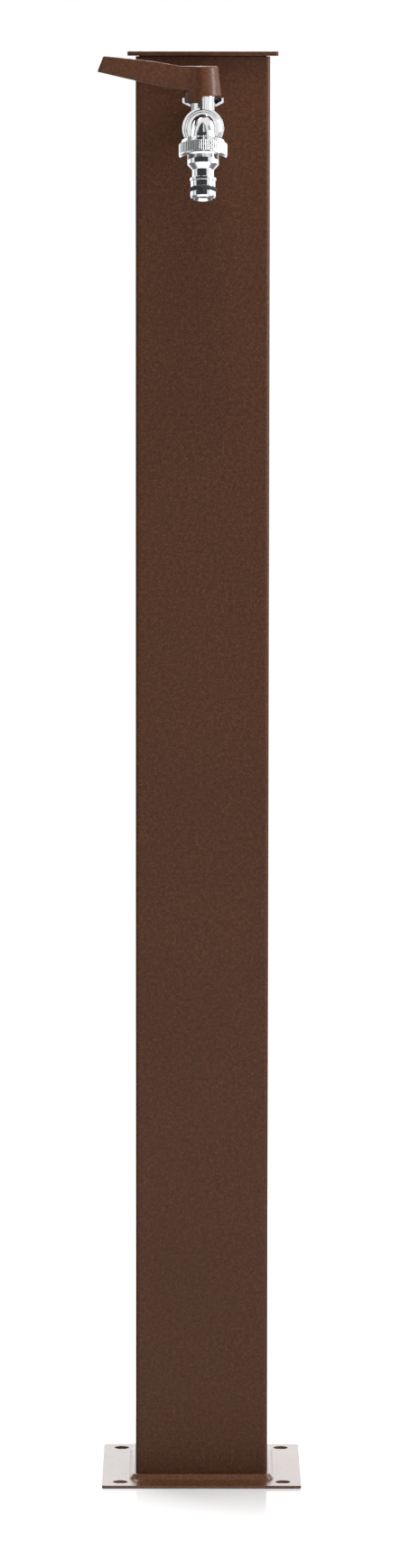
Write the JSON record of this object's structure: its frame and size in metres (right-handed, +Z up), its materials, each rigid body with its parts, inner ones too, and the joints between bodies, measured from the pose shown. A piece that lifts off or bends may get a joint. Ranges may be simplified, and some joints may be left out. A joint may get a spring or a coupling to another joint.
{
  "type": "garden tap fountain",
  "caption": "Square sheet-metal garden column on a bolted foot, with a lever ball tap, a quick-coupling hose spigot and inner pipework.",
  "frame": {"origin": "centre of the foot plate and of its four anchor holes, on the ground", "axes": "+Z up, the tap faces -Y, +X to the right as seen from the front"},
  "size_m": [0.1382, 0.1903, 0.974],
  "materials": {
    "brown_paint": "fine-textured brown powder coat",
    "lever_paint": "brown powder coat on a casting",
    "chrome": "polished chrome plate",
    "brass": "bare turned brass",
    "steel": "plain stainless steel",
    "black_rubber": "matt black rubber",
    "white_plastic": "white seat plastic"
  },
  "bodies": {
    "stand": {"foot_plate": "brown_paint", "column": "brown_paint", "lid": "brown_paint", "lid_insert": "brown_paint", "lid_screws": "steel", "tap_washer": "black_rubber", "tap_end_piece": "chrome", "tap_body": "chrome", "seat_rings": "white_plastic", "tap_elbow": "brass", "riser_pipe": "steel", "riser_nuts": "brass", "riser_olives": "brass", "inlet_elbow": "brass", "inlet_stub": "brass", "inlet_lock_nuts": "brass", "inlet_washer": "black_rubber"},
    "valve": {"lever": "lever_paint", "lever_screw": "steel", "stem": "brass", "stem_washer": "white_plastic", "stem_o_rings": "black_rubber", "ball": "chrome"},
    "nipple": {"hose_nipple": "chrome", "nipple_gasket": "black_rubber", "nipple_o_ring": "black_rubber"},
    "nut": {"hose_nut": "chrome"}
  },
  "joints": [
    {"name": "lever_turn", "type": "hinge", "parent": "stand", "child": "valve", "pos_m": [0, -0.075, 0.95], "axis": [0, 0, 1], "range_deg": [0, 90]},
    {"name": "nipple_slide", "type": "slide", "parent": "stand", "child": "nipple", "axis": [0, -0.2588, -0.9659], "range_m": [0, 0.00544]},
    {"name": "nut_turn", "type": "hinge", "parent": "nipple", "child": "nut", "pos_m": [0, -0.10169, 0.91823], "axis": [0, -0.2588, -0.9659], "range_deg": [0, 1080]}
  ],
  "couplings": [
    {"joint": "nut_turn", "follows": "nipple_slide", "rad_per_m": 3463.7}
  ]
}
